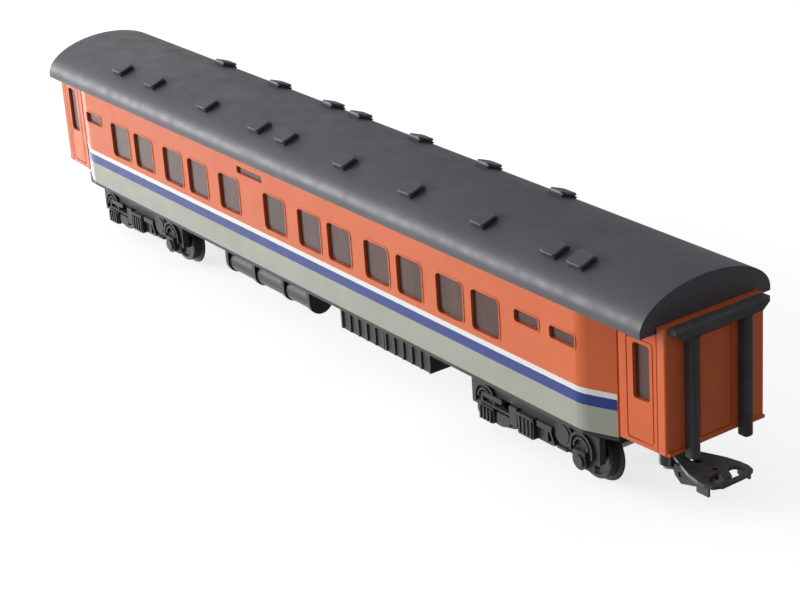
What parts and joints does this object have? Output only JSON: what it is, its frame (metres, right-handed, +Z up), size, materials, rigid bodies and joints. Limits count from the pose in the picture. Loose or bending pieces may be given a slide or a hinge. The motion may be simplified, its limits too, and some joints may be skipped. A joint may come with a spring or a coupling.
{
  "type": "model passenger coach",
  "caption": "Bogie passenger coach for a model railway, with arched roof, glazed sides, rubber-tube gangways, free-rolling wheelsets and hook-and-loop couplers.",
  "frame": {"origin": "under the middle of the coach, on the plane the wheel flanges rest on", "axes": "+X along the coach to end A, +Y to the left of a viewer facing end A, +Z up"},
  "size_m": [0.2454, 0.0326, 0.0479],
  "materials": {
    "shell_paint": "moulded orange plastic with printed stripes",
    "roof_grey": "satin dark grey plastic",
    "window_smoke": "smoky clear plastic",
    "chassis_black": "dull black plastic with worn edges",
    "gangway_black": "dull dark grey plastic",
    "coupler_black": "dark grey plastic",
    "weight_steel": "plain sheet steel",
    "wheel_black": "black plastic wheel",
    "axle_steel": "turned steel",
    "screw_steel": "zinc-plated steel"
  },
  "bodies": {
    "coach": {"body_shell": "shell_paint", "roof": "roof_grey", "roof_vents_left": "roof_grey", "roof_vents_right": "roof_grey", "glazing_left": "window_smoke", "glazing_right": "window_smoke", "door_glazing": "window_smoke", "underframe": "chassis_black", "ballast_weight": "weight_steel", "body_screws": "screw_steel", "bogie_pivot_screws": "screw_steel", "gangway_a_tubes": "gangway_black", "gangway_b_tubes": "gangway_black", "gangway_a_hood": "gangway_black", "gangway_b_hood": "gangway_black", "tank_frame_left": "chassis_black", "air_tanks_left": "chassis_black", "battery_boxes_left": "chassis_black", "tank_frame_right": "chassis_black", "air_tanks_right": "chassis_black", "battery_boxes_right": "chassis_black"},
    "bogie_a": {"bogie_frame_a": "chassis_black", "coupler_rivet_a": "screw_steel"},
    "coupler_a": {"coupler_arm_a": "coupler_black", "bail_pin_a": "coupler_black"},
    "bail_a": {"coupler_bail_a": "coupler_black"},
    "wheelset_a1": {"wheels_a1": "wheel_black", "axle_a1": "axle_steel"},
    "wheelset_a2": {"wheels_a2": "wheel_black", "axle_a2": "axle_steel"},
    "bogie_b": {"bogie_frame_b": "chassis_black", "coupler_rivet_b": "screw_steel"},
    "coupler_b": {"coupler_arm_b": "coupler_black", "bail_pin_b": "coupler_black"},
    "bail_b": {"coupler_bail_b": "coupler_black"},
    "wheelset_b1": {"wheels_b1": "wheel_black", "axle_b1": "axle_steel"},
    "wheelset_b2": {"wheels_b2": "wheel_black", "axle_b2": "axle_steel"}
  },
  "joints": [
    {"name": "bogie_a_swivel", "type": "hinge", "parent": "coach", "child": "bogie_a", "pos_m": [0.0787, 0, 0.0122], "axis": [0, 0, 1], "range_deg": [-15, 15]},
    {"name": "wheelset_a1_roll", "type": "hinge", "parent": "bogie_a", "child": "wheelset_a1", "pos_m": [0.0938, 0, 0.00625], "axis": [0, 1, 0], "continuous": true},
    {"name": "wheelset_a2_roll", "type": "hinge", "parent": "bogie_a", "child": "wheelset_a2", "pos_m": [0.0636, 0, 0.00625], "axis": [0, 1, 0], "continuous": true},
    {"name": "coupler_a_swing", "type": "hinge", "parent": "bogie_a", "child": "coupler_a", "pos_m": [0.1045, 0, 0.0062], "axis": [0, 0, 1], "range_deg": [-20, 20]},
    {"name": "bail_a_lift", "type": "hinge", "parent": "coupler_a", "child": "bail_a", "pos_m": [0.111, 0, 0.0061], "axis": [0, -1, 0], "range_deg": [0, 20]},
    {"name": "bogie_b_swivel", "type": "hinge", "parent": "coach", "child": "bogie_b", "pos_m": [-0.0787, 0, 0.0122], "axis": [0, 0, 1], "range_deg": [-15, 15]},
    {"name": "wheelset_b1_roll", "type": "hinge", "parent": "bogie_b", "child": "wheelset_b1", "pos_m": [-0.0938, 0, 0.00625], "axis": [0, 1, 0], "continuous": true},
    {"name": "wheelset_b2_roll", "type": "hinge", "parent": "bogie_b", "child": "wheelset_b2", "pos_m": [-0.0636, 0, 0.00625], "axis": [0, 1, 0], "continuous": true},
    {"name": "coupler_b_swing", "type": "hinge", "parent": "bogie_b", "child": "coupler_b", "pos_m": [-0.1045, 0, 0.0062], "axis": [0, 0, 1], "range_deg": [-20, 20]},
    {"name": "bail_b_lift", "type": "hinge", "parent": "coupler_b", "child": "bail_b", "pos_m": [-0.111, 0, 0.0061], "axis": [0, 1, 0], "range_deg": [0, 20]}
  ]
}
